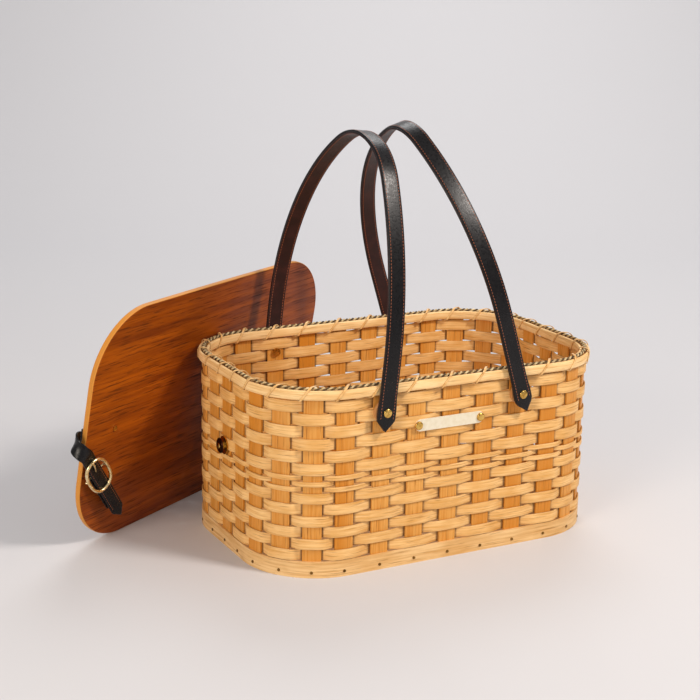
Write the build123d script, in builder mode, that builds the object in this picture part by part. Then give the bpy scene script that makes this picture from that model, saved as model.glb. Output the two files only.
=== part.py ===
from build123d import *
from math import atan2, cos, degrees, pi, radians, sin
import os

# Splint-woven picnic basket with two leather carrying handles. Its oak lid is off and leans
# against the back left corner of the rim. Millimetres, +Z up, the basket's length along X,
# its front wall towards -Y, and the origin on the floor under the middle of the basket.

os.makedirs("parts", exist_ok=True)

# Overall size of the basket, over the outer rim band
rim_length = 422.7
rim_depth = 270.3
rim_corner_radius = 86.6

# Reeds of the wall
stake_width = 20.0
stake_thickness = 2.0
weaver_thickness = 1.5
weave_clearance = 0.1
weave_ease = 1.0
row_gap = 0.3

# Bottom
board_thickness = 12.0
board_clearance = 0.2
base_band_height = 17.9
base_band_thickness = 1.8

# Rows of weaving, from the bottom up
lower_rows = 6
lower_row_pitch = 12.5
narrow_rows = 3
narrow_row_pitch = 6.1
upper_rows = 6
upper_row_pitch = 13.3

# Rim: a band on each side of the stakes, a cord of grass between them, and cane over all
rim_band_height = 10.8
rim_band_thickness = 3.3
rim_clearance = 0.3
filler_diameter = 4.6
filler_rise = 0.5
cane_thickness = 0.8
cane_width = 2.6
cane_clearance = 0.1
hole_reach = 10.0

# Stakes: seven along each long wall and nine around each end, an even number in all
front_stakes_count = 7
end_stakes_count = 9
stake_run_shift = -5.0
stake_foot = 1.0

# Nails through the base band
nail_head_diameter = 3.2
nail_head_height = 0.7
nail_shank_diameter = 1.4
nail_length = 12.0
nail_height = 6.0

# Handles
strap_width = 19.0
strap_thickness = 2.3
lining_thickness = 1.8
glue_gap = 0.1
handle_clearance = 0.5
handle_pivot_drop = 17.8
handle_tail = 20.0
handle_tail_shoulder = 9.0
handle_pivot_stakes = (1, 5)

# The left and the right handle as they stand in the photo: lean, height over the pivots,
# how far the top lies in front of the middle, and the bends of the leather
handle_leans = (5.7, -17.4)
handle_rises = (272.8, 289.6)
handle_apexes = (-24.7, -16.1)
handle_top_radii = (76.8, 51.7)
handle_legs = (47.5, 86.0)

# Handle screws, each in a flanged post that comes through from inside
post_diameter = 4.4
post_bore = 3.2
post_flange_diameter = 10.0
post_flange_thickness = 1.2
screw_diameter = 3.0
screw_head_diameter = 9.5
screw_head_height = 2.0
screw_head_round = 1.4
fit_clearance = 0.25
disc_diameter = 23.0
disc_gap = 0.3

# Nameplate
plate_length = 84.0
plate_width = 13.0
plate_thickness = 1.0
plate_drop = 38.8
plate_centre_x = -8.0
plate_rivet_spacing = 76.0
plate_rivet_head_diameter = 9.2
plate_rivet_head_height = 2.2
plate_rivet_head_round = 1.54
plate_rivet_diameter = 2.4
plate_rivet_tail_diameter = 6.0
plate_rivet_tail_height = 0.8

# Snap studs on the end walls
stud_height = 115.0
stud_base_diameter = 20.0
stud_base_thickness = 1.6
stud_neck_diameter = 8.0
stud_neck_length = 3.4
stud_cap_diameter = 17.0
stud_cap_thickness = 2.6
stud_shank_diameter = 3.0

# Lid
lid_length = 428.0
lid_width = 268.0
lid_corner_radius = 79.0
lid_edge_bow = 1.0
lid_thickness = 6.5
lid_edge_round = 1.4
lid_azimuth = 31.3
lid_lean = 10.5
lid_shift_along = -71.7
lid_rim_gap = 1.0

# Straps of the lid
lid_strap_width = 16.0
lid_strap_thickness = 2.0
lid_strap_inset = 52.0
lid_screw_inset = 46.0
lid_screw_diameter = 3.0
lid_screw_head_diameter = 8.0
lid_screw_head_height = 1.0
hinge_gap = 0.9
strap_swing_out = 5.0
strap_slant = -53.0
billet_length = 112.0
billet_point = 12.0
chape_length = 98.0
buckle_from_fold = 36.0
buckle_length = 45.0
buckle_width = 31.0
buckle_wire = 3.2
buckle_wire_depth = 2.56
buckle_bar_diameter = 2.2
bar_foot_radius = 1.4
bar_foot_sink = 1.0
buckle_clearance = 0.25
bar_clearance = 0.15
barrel_wall = 1.0
fold_depth = 14.0
fold_height = 24.0
fold_wall = 3.0
fold_drop = 3.0
leaf_lift = 2.0
strap_drop = 12.0
strap_out = 7.5
prong_width = 2.4
prong_thickness = 1.6
prong_hook = 6.0
prong_slot_length = 18.0
prong_slot_back = 8.0
prong_slot_clearance = 0.6
snap_diameter = 13.0
snap_height = 1.6
snap_from_end = 14.0

# Worked out from the sizes above
weave_swing = stake_thickness / 2 + weave_clearance + weaver_thickness / 2
wall_face = weave_swing + weaver_thickness / 2
wall_to_rim = wall_face + rim_clearance + rim_band_thickness
half_length = rim_length / 2 - wall_to_rim
half_depth = rim_depth / 2 - wall_to_rim
corner_radius = rim_corner_radius - wall_to_rim
straight_x = half_length - corner_radius
straight_y = half_depth - corner_radius
corner_run = pi * corner_radius / 2
perimeter = 4 * (straight_x + straight_y + corner_run)
rows_bottom = base_band_height + row_gap
lashing_bottom = (
    rows_bottom
    + lower_rows * lower_row_pitch
    + narrow_rows * narrow_row_pitch
    + upper_rows * upper_row_pitch
)
rim_bottom = lashing_bottom + cane_thickness + 2 * cane_clearance
rim_top = rim_bottom + rim_band_height
filler_height = rim_top + filler_rise
filler_top = filler_height + filler_diameter / 2
stake_top = filler_height - filler_diameter / 2 - 2 * cane_clearance
lashing_face = wall_to_rim + cane_clearance + cane_thickness
handle_pivot_height = rim_bottom - handle_pivot_drop
plate_height = rim_bottom - plate_drop


def hoop_point(run, out=0.0):
    """Point and outward angle on the wall's middle line, run mm from the front's middle."""
    run = run % perimeter
    sides = (
        (straight_x, (0, -half_depth), (straight_x, -straight_y)),
        (2 * straight_y, (half_length, -straight_y), (straight_x, straight_y)),
        (2 * straight_x, (straight_x, half_depth), (-straight_x, straight_y)),
        (2 * straight_y, (-half_length, straight_y), (-straight_x, -straight_y)),
        (straight_x, (-straight_x, -half_depth), None),
    )
    angle = -90.0
    for length, foot, centre in sides:
        outward = Vector(cos(radians(angle)), sin(radians(angle)))
        ahead = Vector(-outward.Y, outward.X)
        if run <= length or centre is None:
            return Vector(*foot) + ahead * run + outward * out, angle
        run -= length
        if run <= corner_run:
            angle += degrees(run / corner_radius)
            outward = Vector(cos(radians(angle)), sin(radians(angle)))
            return Vector(*centre) + outward * (corner_radius + out), angle
        run -= corner_run
        angle += 90.0


def spread(first, last, count):
    """Count places evenly spaced between two others, which are left out."""
    return [first + (last - first) * (k + 1) / (count + 1) for k in range(count)]


stake_pitch = 2 * straight_x / (front_stakes_count - 1)
front_xs = [stake_run_shift - straight_x + stake_pitch * k for k in range(front_stakes_count)]
front_runs = list(front_xs)
back_runs = [perimeter / 2 - x for x in reversed(front_xs)]
right_runs = spread(front_runs[-1], back_runs[0], end_stakes_count)
left_runs = spread(back_runs[-1], perimeter + front_runs[0], end_stakes_count)
stake_runs = front_runs + right_runs + back_runs + left_runs
stakes_count = len(stake_runs)
flat_half = stake_width / 2 + weave_ease


def hoop_edge(run_a, run_b, out_a, out_b, ease):
    """Edge along the wall between two places, parallel to the wall at both ends."""
    start, angle_a = hoop_point(run_a, out_a)
    end, angle_b = hoop_point(run_b, out_b)
    if abs(angle_a - angle_b) < 1e-6 and abs(out_a - out_b) < 1e-6:
        Line(start, end)
        return
    reach = (end - start).length * ease
    lead = Vector(-sin(radians(angle_a)), cos(radians(angle_a))) * reach
    trail = Vector(-sin(radians(angle_b)), cos(radians(angle_b))) * reach
    Bezier(start, start + lead, end - trail, end)


def weave_outline(phase, face_out):
    """One face of a weaver in plan: outside one stake, inside the next, all the way round."""
    for k in range(stakes_count):
        here = stake_runs[k]
        after = stake_runs[(k + 1) % stakes_count]
        if after < here:
            after += perimeter
        side = weave_swing if (k + phase) % 2 else -weave_swing
        hoop_edge(here - flat_half, here + flat_half, side + face_out, side + face_out, 1 / 3)
        hoop_edge(here + flat_half, after - flat_half, side + face_out, face_out - side, 0.45)


def wall_ring(inner_out, outer_out):
    """Flat ring that follows the wall, between two offsets from its middle line."""
    RectangleRounded(
        2 * (half_length + outer_out), 2 * (half_depth + outer_out), corner_radius + outer_out
    )
    RectangleRounded(
        2 * (half_length + inner_out),
        2 * (half_depth + inner_out),
        corner_radius + inner_out,
        mode=Mode.SUBTRACT,
    )


def wall_plane(run, height, out=0.0):
    """Plane on the wall that faces outwards, with its Y axis up."""
    place, angle = hoop_point(run, out)
    facing = Vector(cos(radians(angle)), sin(radians(angle)), 0)
    level = Vector(-sin(radians(angle)), cos(radians(angle)), 0)
    return Plane(origin=(place.X, place.Y, height), x_dir=level, z_dir=facing)


def peg(plane, radius, start, end, mode=Mode.ADD):
    """Round peg along a plane's normal, between two distances from the plane."""
    with BuildSketch(plane.offset(start)) as disc:
        Circle(radius)
    extrude(disc.sketch, amount=end - start, mode=mode)


def finish(piece, name):
    piece.part.label = name
    export_step(piece.part, f"parts/{name}.step")


# Places of what is fastened through the wall
pivot_runs = [front_runs[k] for k in handle_pivot_stakes]
pivot_runs += [perimeter / 2 - front_runs[k] for k in handle_pivot_stakes]
pivot_planes = [wall_plane(run, handle_pivot_height) for run in pivot_runs]
stud_runs = [right_runs[end_stakes_count // 2], left_runs[end_stakes_count // 2]]
stud_planes = [wall_plane(run, stud_height) for run in stud_runs]
plate_rivet_runs = [plate_centre_x + side * plate_rivet_spacing / 2 for side in (-1, 1)]
plate_planes = [wall_plane(run, plate_height) for run in plate_rivet_runs]
nail_planes = [wall_plane(run, nail_height) for run in stake_runs]


def wall_holes():
    """Holes through the weaving for the handle posts, the studs and the plate's rivets."""
    for plane in pivot_planes:
        peg(plane, post_diameter / 2 + cane_clearance, -hole_reach, hole_reach, Mode.SUBTRACT)
    for plane in stud_planes:
        radius = stud_shank_diameter / 2 + cane_clearance
        peg(plane, radius, -hole_reach, hole_reach, Mode.SUBTRACT)
    for plane in plate_planes:
        radius = plate_rivet_diameter / 2 + cane_clearance
        peg(plane, radius, -hole_reach, hole_reach, Mode.SUBTRACT)


# Solid base board, which the feet of the stakes are nailed to
with BuildPart() as base_board:
    inset = stake_thickness / 2 + board_clearance
    with BuildSketch():
        RectangleRounded(
            2 * (half_length - inset), 2 * (half_depth - inset), corner_radius - inset
        )
    extrude(amount=board_thickness)
    for plane in nail_planes:
        peg(plane, nail_shank_diameter / 2, -nail_length - 1, hole_reach, Mode.SUBTRACT)
finish(base_board, "base_board")

# Base band, bent round the feet of the stakes
band_inner = stake_thickness / 2 + weave_clearance
band_face = band_inner + base_band_thickness
with BuildPart() as base_band:
    with BuildSketch():
        wall_ring(band_inner, band_face)
    extrude(amount=base_band_height)
    for plane in nail_planes:
        peg(plane, nail_shank_diameter / 2, -hole_reach, hole_reach, Mode.SUBTRACT)
finish(base_band, "base_band")

with BuildPart() as base_nails:
    for plane in nail_planes:
        peg(plane, nail_shank_diameter / 2, band_face - nail_length, band_face)
        peg(plane, nail_head_diameter / 2, band_face, band_face + nail_head_height)
finish(base_nails, "base_nails")

# Stakes: upright flat reeds, bent to the corners' curve
for name, runs in (
    ("front_stakes", front_runs),
    ("right_end_stakes", right_runs),
    ("back_stakes", back_runs),
    ("left_end_stakes", left_runs),
):
    with BuildPart() as stakes:
        with BuildSketch(Plane.XY.offset(stake_foot)):
            wall_ring(-stake_thickness / 2, stake_thickness / 2)
        extrude(amount=stake_top - stake_foot)
        with BuildSketch(Plane.XY.offset(stake_foot)):
            for run in runs:
                place, angle = hoop_point(run)
                with Locations(Location((place.X, place.Y, 0), (0, 0, angle))):
                    Rectangle(8 * stake_thickness, stake_width)
        extrude(amount=stake_top - stake_foot, mode=Mode.INTERSECT)
        wall_holes()
        for plane in nail_planes:
            peg(plane, nail_shank_diameter / 2, -hole_reach, hole_reach, Mode.SUBTRACT)
    finish(stakes, name)

# Weavers: flat reeds laid as closed hoops, each over one stake and under the next
row_pitches = (
    [lower_row_pitch] * lower_rows
    + [narrow_row_pitch] * narrow_rows
    + [upper_row_pitch] * upper_rows
    + [stake_top - rim_bottom + row_gap]
)
row_bottom = rows_bottom
for number, pitch in enumerate(row_pitches, start=1):
    rim_row = number == len(row_pitches)
    if rim_row:
        row_bottom = rim_bottom
    with BuildPart() as weaver:
        with BuildSketch(Plane.XY.offset(row_bottom)):
            with BuildLine():
                weave_outline(number, weaver_thickness / 2)
            make_face()
            with BuildLine():
                weave_outline(number, -weaver_thickness / 2)
            make_face(mode=Mode.SUBTRACT)
        extrude(amount=pitch - row_gap)
        wall_holes()
    finish(weaver, "rim_row" if rim_row else f"weaver_row_{number:02d}")
    row_bottom += pitch

# Rim bands, outside and inside the top of the wall
with BuildPart() as rim_outer:
    with BuildSketch(Plane.XY.offset(rim_bottom)):
        wall_ring(wall_face + rim_clearance, wall_to_rim)
    extrude(amount=rim_band_height)
finish(rim_outer, "rim_outer_band")

with BuildPart() as rim_inner:
    with BuildSketch(Plane.XY.offset(rim_bottom)):
        wall_ring(-wall_to_rim, -wall_face - rim_clearance)
    extrude(amount=rim_band_height)
finish(rim_inner, "rim_inner_band")

# Grass cord that fills the groove on top of the rim
with BuildPart() as rim_filler:
    with BuildLine(Plane.XY.offset(filler_height)) as groove:
        FilletPolyline(
            (half_length, -half_depth),
            (half_length, half_depth),
            (-half_length, half_depth),
            (-half_length, -half_depth),
            radius=corner_radius,
            close=True,
        )
    with BuildSketch(Plane(origin=groove.line @ 0, z_dir=groove.line % 0)):
        Circle(filler_diameter / 2)
    sweep()
finish(rim_filler, "rim_filler")

# Turns of cane that bind the rim, one in each gap between stakes
with BuildPart() as rim_lashing:
    hole_bottom = lashing_bottom + cane_thickness + cane_clearance
    hole_top = filler_top + cane_clearance
    hole_half = wall_to_rim + cane_clearance
    for k in range(stakes_count):
        after = stake_runs[(k + 1) % stakes_count]
        if after < stake_runs[k]:
            after += perimeter
        place, angle = hoop_point((stake_runs[k] + after) / 2)
        facing = Vector(cos(radians(angle)), sin(radians(angle)), 0)
        along = Vector(-sin(radians(angle)), cos(radians(angle)), 0)
        turn_plane = Plane(
            origin=(place.X, place.Y, (hole_bottom + hole_top) / 2), x_dir=facing, z_dir=-along
        )
        with BuildSketch(turn_plane):
            Rectangle(
                2 * (hole_half + cane_thickness), hole_top - hole_bottom + 2 * cane_thickness
            )
            Rectangle(2 * hole_half, hole_top - hole_bottom, mode=Mode.SUBTRACT)
        extrude(amount=cane_width / 2, both=True)
finish(rim_lashing, "rim_lashing")

# Handles. Each is an arch of two leathers, pivoted on its screws through the long walls
lining_inside = half_depth + lashing_face + handle_clearance
lining_outside = lining_inside + lining_thickness
strap_inside = lining_outside + glue_gap
strap_outside = strap_inside + strap_thickness


def arch_side(face, lift, side, rise, apex, inner_top_radius, leg):
    """Leg, shoulder and top arcs of one side of the arch, at one face of the leather."""
    span = face - side * apex
    top_radius = inner_top_radius + lift
    crown = rise + lift - top_radius
    shoulder = (span**2 + (crown - leg) ** 2 - top_radius**2) / (2 * (span - top_radius))
    turn = atan2(crown - leg, shoulder - span)
    centre_x = apex + side * (span - shoulder)
    foot = (side * face, leg)
    middle = (centre_x + side * shoulder * cos(turn / 2), leg + shoulder * sin(turn / 2))
    joint = (centre_x + side * shoulder * cos(turn), leg + shoulder * sin(turn))
    bend = (turn + pi / 2) / 2
    upper = (apex + side * top_radius * cos(bend), crown + top_radius * sin(bend))
    peak = (apex, crown + top_radius)
    Line((side * face, -handle_tail), foot)
    ThreePointArc(foot, middle, joint)
    ThreePointArc(joint, upper, peak)


handle_names = ("left", "right")
handle_shapes = zip(handle_rises, handle_apexes, handle_top_radii, handle_legs)
for name, stake, lean, shape in zip(
    handle_names, handle_pivot_stakes, handle_leans, handle_shapes
):
    tilt = radians(lean)
    up = Vector(sin(tilt), 0, cos(tilt))
    along = Vector(0, 1, 0)
    arch_plane = Plane(
        origin=(front_xs[stake], 0, handle_pivot_height), x_dir=along, z_dir=along.cross(up)
    )
    across = Plane(origin=arch_plane.origin, x_dir=along.cross(up), z_dir=-along)
    arch_top = shape[0] + strap_width
    for layer, inside, outside in (
        ("lining", lining_inside, lining_outside),
        ("strap", strap_inside, strap_outside),
    ):
        with BuildPart() as leather:
            with BuildSketch(arch_plane):
                for face, mode in ((outside, Mode.ADD), (inside, Mode.SUBTRACT)):
                    with BuildLine():
                        for side in (-1, 1):
                            arch_side(face, face - strap_inside, side, *shape)
                        Line((-face, -handle_tail), (face, -handle_tail))
                    make_face(mode=mode)
            extrude(amount=strap_width / 2, both=True)
            with BuildSketch(across.offset(-strap_outside - 1)):
                with BuildLine():
                    Polyline(
                        (-strap_width / 2, arch_top),
                        (-strap_width / 2, -handle_tail_shoulder),
                        (0, -handle_tail),
                        (strap_width / 2, -handle_tail_shoulder),
                        (strap_width / 2, arch_top),
                        close=True,
                    )
                make_face()
            extrude(amount=2 * strap_outside + 2, mode=Mode.INTERSECT)
            peg(
                across,
                post_diameter / 2 + fit_clearance,
                -strap_outside - 1,
                strap_outside + 1,
                Mode.SUBTRACT,
            )
        finish(leather, f"{name}_handle_{layer}")

# Leather discs that hold the handles' tails off the weaving
disc_bottom = wall_face + disc_gap
disc_top = lining_inside - half_depth - disc_gap
with BuildPart() as handle_discs:
    for plane in pivot_planes:
        peg(plane, disc_diameter / 2, disc_bottom, disc_top)
        peg(plane, post_diameter / 2 + cane_clearance, disc_bottom, disc_top, Mode.SUBTRACT)
finish(handle_discs, "handle_discs")

# Brass posts from inside, and the screws that close them outside
post_inner = -wall_face - disc_gap
post_tip = strap_outside - half_depth + disc_gap
with BuildPart() as handle_posts:
    for plane in pivot_planes:
        peg(plane, post_flange_diameter / 2, post_inner - post_flange_thickness, post_inner)
        peg(plane, post_diameter / 2, post_inner, post_tip)
        peg(plane, post_bore / 2, post_inner, post_tip, Mode.SUBTRACT)
finish(handle_posts, "handle_posts")

with BuildPart() as handle_screws:
    for plane in pivot_planes:
        peg(plane, screw_diameter / 2, post_inner + 1, post_tip)
        peg(plane, screw_head_diameter / 2, post_tip, post_tip + screw_head_height)
    crown_edges = handle_screws.edges().filter_by(GeomType.CIRCLE)
    rims = [
        edge
        for edge in crown_edges
        if abs(abs(edge.center().Y) - half_depth - post_tip - screw_head_height) < 0.01
    ]
    fillet(rims, screw_head_round)
finish(handle_screws, "handle_screws")

# Bare nameplate on the front, held by two riveted studs
plate_inner = wall_face + disc_gap
plate_face = plate_inner + plate_thickness
with BuildPart() as name_plate:
    with BuildSketch(wall_plane(plate_centre_x, plate_height, plate_inner)):
        SlotOverall(plate_length, plate_width)
    extrude(amount=plate_thickness)
    for plane in plate_planes:
        peg(plane, plate_rivet_diameter / 2 + cane_clearance, 0, hole_reach, Mode.SUBTRACT)
finish(name_plate, "name_plate")

with BuildPart() as plate_rivets:
    for plane in plate_planes:
        tail_face = -wall_face - disc_gap
        peg(plane, plate_rivet_tail_diameter / 2, tail_face - plate_rivet_tail_height, tail_face)
        peg(plane, plate_rivet_diameter / 2, tail_face, plate_face)
        peg(
            plane, plate_rivet_head_diameter / 2, plate_face, plate_face + plate_rivet_head_height
        )
    heads = [
        edge
        for edge in plate_rivets.edges().filter_by(GeomType.CIRCLE)
        if abs(edge.center().Y + half_depth + plate_face + plate_rivet_head_height) < 0.01
    ]
    fillet(heads, plate_rivet_head_round)
finish(plate_rivets, "plate_rivets")

# Snap studs of the end walls: a brass base outside, a shank through, and a dark cap
stud_inner = wall_face + disc_gap
stud_neck_end = stud_inner + stud_base_thickness + stud_neck_length
with BuildPart() as stud_bases:
    for plane in stud_planes:
        tail_face = -wall_face - disc_gap
        peg(plane, plate_rivet_tail_diameter / 2, tail_face - plate_rivet_tail_height, tail_face)
        peg(plane, stud_shank_diameter / 2, tail_face, stud_inner)
        peg(plane, stud_base_diameter / 2, stud_inner, stud_inner + stud_base_thickness)
        peg(
            plane,
            stud_neck_diameter / 2,
            stud_inner + stud_base_thickness,
            stud_neck_end,
        )
finish(stud_bases, "stud_bases")

with BuildPart() as stud_caps:
    for plane in stud_planes:
        peg(plane, stud_cap_diameter / 2, stud_neck_end, stud_neck_end + stud_cap_thickness)
finish(stud_caps, "stud_caps")

# Lid, in a frame of its own: X along its length, Y up its face, Z out of the face that
# rests on the rim. It stands on its long edge and leans over the corner of the rim.
turn = radians(lid_azimuth)
lean_angle = radians(lid_lean)
lid_along = Vector(cos(turn), sin(turn), 0)
lid_away = Vector(-sin(turn), cos(turn), 0)
lid_up = lid_away * -sin(lean_angle) + Vector(0, 0, cos(lean_angle))
lid_face = lid_along.cross(lid_up)
rim_corner = Vector(-straight_x, straight_y, rim_top) + lid_away * (
    corner_radius + wall_to_rim + lid_rim_gap
)
foot_away = lid_face.dot(rim_corner - lid_along * lid_shift_along) / lid_face.dot(lid_away)
lid_reach = lid_width / 2 + lid_edge_bow
lid_origin = lid_along * lid_shift_along + lid_away * foot_away + lid_up * lid_reach
lid_plane = Plane(origin=lid_origin, x_dir=lid_along, z_dir=lid_face)


def on_lid(x, y, z):
    """Plane parallel to the lid's face at a place in the lid's own frame."""
    return Plane(
        origin=lid_plane.from_local_coords(Vector(x, y, z)),
        x_dir=lid_plane.x_dir,
        z_dir=lid_plane.z_dir,
    )


lid_end = lid_length / 2 + lid_edge_bow
screw_x = lid_end - lid_screw_inset
long_bow = ((lid_length / 2) ** 2 + lid_edge_bow**2) / (2 * lid_edge_bow)
short_bow = ((lid_width / 2) ** 2 + lid_edge_bow**2) / (2 * lid_edge_bow)

# The corner arc's centre, where it touches both the long and the short bowed edge inside
long_centre = Vector(0, lid_reach - long_bow)
short_centre = Vector(lid_end - short_bow, 0)
long_reach = long_bow - lid_corner_radius
short_reach = short_bow - lid_corner_radius
apart = (short_centre - long_centre).length
part_way = (long_reach**2 - short_reach**2 + apart**2) / (2 * apart)
towards = (short_centre - long_centre) / apart
aside = Vector(-towards.Y, towards.X) * (long_reach**2 - part_way**2) ** 0.5
corner_centre = long_centre + towards * part_way + aside
if corner_centre.X < 0:
    corner_centre = long_centre + towards * part_way - aside
long_touch = long_centre + (corner_centre - long_centre) * (long_bow / long_reach)
short_touch = short_centre + (corner_centre - short_centre) * (short_bow / short_reach)
knee = corner_centre + Vector(1, 1).normalized() * lid_corner_radius

with BuildPart() as lid_board:
    with BuildSketch(lid_plane):
        with BuildLine():
            for sx in (1, -1):
                for sy in (1, -1):
                    ThreePointArc(
                        (sx * long_touch.X, sy * long_touch.Y),
                        (sx * knee.X, sy * knee.Y),
                        (sx * short_touch.X, sy * short_touch.Y),
                    )
            for side in (1, -1):
                ThreePointArc(
                    (-long_touch.X, side * long_touch.Y),
                    (0, side * lid_reach),
                    (long_touch.X, side * long_touch.Y),
                )
                ThreePointArc(
                    (side * short_touch.X, -short_touch.Y),
                    (side * lid_end, 0),
                    (side * short_touch.X, short_touch.Y),
                )
        make_face()
    extrude(amount=-lid_thickness)
    fillet(
        lid_board.faces().filter_by(lid_plane).edges(),
        lid_edge_round,
    )
    for sx in (1, -1):
        peg(on_lid(sx * screw_x, 0, 0), lid_screw_diameter / 2, -lid_thickness - 1, 1, Mode.SUBTRACT)
finish(lid_board, "lid_board")

# Tabs that hold the straps on the lid's upper face, with their screws
tab_inner = -lid_thickness - cane_clearance
with BuildPart() as strap_tabs:
    for sx in (1, -1):
        middle = sx * (lid_end - hinge_gap - lid_strap_inset / 2)
        with BuildSketch(on_lid(middle, 0, tab_inner)):
            Rectangle(lid_strap_inset, lid_strap_width)
        extrude(amount=-lid_strap_thickness)
        peg(
            on_lid(sx * screw_x, 0, 0),
            lid_screw_diameter / 2,
            tab_inner - lid_strap_thickness,
            tab_inner,
            Mode.SUBTRACT,
        )
finish(strap_tabs, "lid_strap_tabs")

with BuildPart() as lid_screws:
    for sx in (1, -1):
        head_face = tab_inner - lid_strap_thickness - cane_clearance
        plane = on_lid(sx * screw_x, 0, 0)
        peg(plane, lid_screw_diameter / 2, head_face, cane_clearance)
        peg(plane, lid_screw_head_diameter / 2, head_face - lid_screw_head_height, head_face)
        peg(
            plane,
            lid_screw_diameter,
            cane_clearance,
            cane_clearance + lid_screw_head_height,
        )
finish(lid_screws, "lid_screws")

# Straps of the lid. Each bends round the end edge of the lid and hangs in front of its face,
# with its pointed billet through a centre-bar buckle and a short tab behind.
chape_top = lid_strap_thickness
bar_height = chape_top + barrel_wall
barrel_radius = buckle_bar_diameter / 2 + bar_clearance + barrel_wall
billet_bottom = bar_height + barrel_radius + buckle_clearance
billet_top = billet_bottom + lid_strap_thickness
frame_bottom = billet_top + buckle_clearance
bar_at = buckle_from_fold

for name, sx in (("left", -1), ("right", 1)):
    swing = radians(strap_swing_out)
    slant = radians(strap_slant)
    inward = lid_along * (-sx)
    leaf_x = inward * cos(swing) + lid_face * sin(swing)
    leaf_z = lid_face * cos(swing) - inward * sin(swing)
    run_dir = leaf_x * cos(slant) + lid_up * sin(slant)
    leaf_origin = lid_plane.from_local_coords(
        Vector(sx * (lid_end + hinge_gap + strap_out), -strap_drop, leaf_lift)
    )
    leaf_plane = Plane(origin=leaf_origin, x_dir=run_dir, z_dir=leaf_z)
    bar_plane = Plane(
        origin=leaf_plane.from_local_coords(Vector(bar_at, 0, bar_height)),
        x_dir=leaf_plane.x_dir,
        z_dir=leaf_plane.y_dir,
    )
    prong_plane = Plane(origin=bar_plane.origin, x_dir=run_dir, z_dir=-leaf_plane.y_dir)

    def leaf(x, y, z):
        return Plane(
            origin=leaf_plane.from_local_coords(Vector(x, y, z)),
            x_dir=leaf_plane.x_dir,
            z_dir=leaf_plane.z_dir,
        )

    with BuildPart() as billet:
        with BuildSketch(leaf(0, 0, billet_bottom)):
            with BuildLine():
                half = lid_strap_width / 2
                Polyline(
                    (0, -half),
                    (billet_length - billet_point, -half),
                    (billet_length, 0),
                    (billet_length - billet_point, half),
                    (0, half),
                    close=True,
                )
            make_face()
        extrude(amount=lid_strap_thickness)
        with BuildSketch(leaf(bar_at - prong_slot_back, 0, billet_bottom)):
            SlotOverall(prong_slot_length, prong_width + 2 * prong_slot_clearance)
        extrude(amount=lid_strap_thickness, mode=Mode.SUBTRACT)
        wrap_bottom = tab_inner - lid_strap_thickness
        fold_x = sx * (lid_end + hinge_gap)
        with BuildSketch(on_lid(fold_x + sx * fold_depth / 2, -fold_drop, wrap_bottom)):
            Rectangle(fold_depth, fold_height)
        extrude(amount=leaf_lift + billet_top - wrap_bottom)
        with BuildSketch(
            on_lid(
                fold_x + sx * (fold_depth - fold_wall) / 2,
                -fold_drop,
                wrap_bottom + lid_strap_thickness,
            )
        ):
            Rectangle(fold_depth - fold_wall, 2 * fold_height)
        extrude(amount=billet_bottom - tab_inner, mode=Mode.SUBTRACT)
    finish(billet, f"{name}_lid_strap")

    with BuildPart() as chape:
        with BuildSketch(leaf((bar_at - barrel_radius + chape_length) / 2, 0, 0)):
            Rectangle(chape_length - bar_at + barrel_radius, lid_strap_width)
        extrude(amount=lid_strap_thickness)
        peg(bar_plane, barrel_radius, -lid_strap_width / 2, lid_strap_width / 2)
        peg(
            bar_plane,
            buckle_bar_diameter / 2 + bar_clearance,
            -lid_strap_width / 2,
            lid_strap_width / 2,
            Mode.SUBTRACT,
        )
        peg(
            bar_plane,
            barrel_radius + bar_clearance,
            -prong_width / 2 - bar_clearance,
            prong_width / 2 + bar_clearance,
            Mode.SUBTRACT,
        )
    finish(chape, f"{name}_strap_tab")

    with BuildPart() as snap:
        with BuildSketch(leaf(chape_length - snap_from_end, 0, -cane_clearance)):
            Circle(snap_diameter / 2)
            Circle(snap_diameter / 4, mode=Mode.SUBTRACT)
        extrude(amount=-snap_height)
    finish(snap, f"{name}_strap_snap")

    with BuildPart() as buckle:
        with BuildSketch(leaf(bar_at, 0, frame_bottom)):
            RectangleRounded(buckle_length, buckle_width, buckle_width / 2 - 1)
            RectangleRounded(
                buckle_length - 2 * buckle_wire,
                buckle_width - 2 * buckle_wire,
                buckle_width / 2 - 1 - buckle_wire,
                mode=Mode.SUBTRACT,
            )
        extrude(amount=buckle_wire_depth)
        bar_half = (buckle_width - buckle_wire) / 2
        peg(bar_plane, buckle_bar_diameter / 2, -bar_half, bar_half)
        for side in (-1, 1):
            with BuildSketch(leaf(bar_at, side * bar_half, bar_height - bar_foot_radius)):
                Circle(bar_foot_radius)
            extrude(amount=frame_bottom - bar_height + bar_foot_radius + bar_foot_sink)
    finish(buckle, f"{name}_buckle")

    with BuildPart() as prong:
        eye = barrel_radius - bar_clearance
        over = frame_bottom + buckle_wire_depth + buckle_clearance - bar_height
        reach = buckle_length / 2 + 1
        with BuildSketch(prong_plane):
            Circle(eye)
            with BuildLine():
                Polyline(
                    (0, eye),
                    (-reach + prong_hook, over + prong_thickness),
                    (-reach, over + prong_thickness),
                    (-reach, over),
                    (-reach + prong_hook, over),
                    (-eye * 0.9, 0),
                    close=True,
                )
            make_face()
            Circle(buckle_bar_diameter / 2 + bar_clearance, mode=Mode.SUBTRACT)
        extrude(amount=prong_width / 2, both=True)
    finish(prong, f"{name}_buckle_prong")
    print(name, "bar", bar_plane.origin, bar_plane.z_dir)

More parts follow.
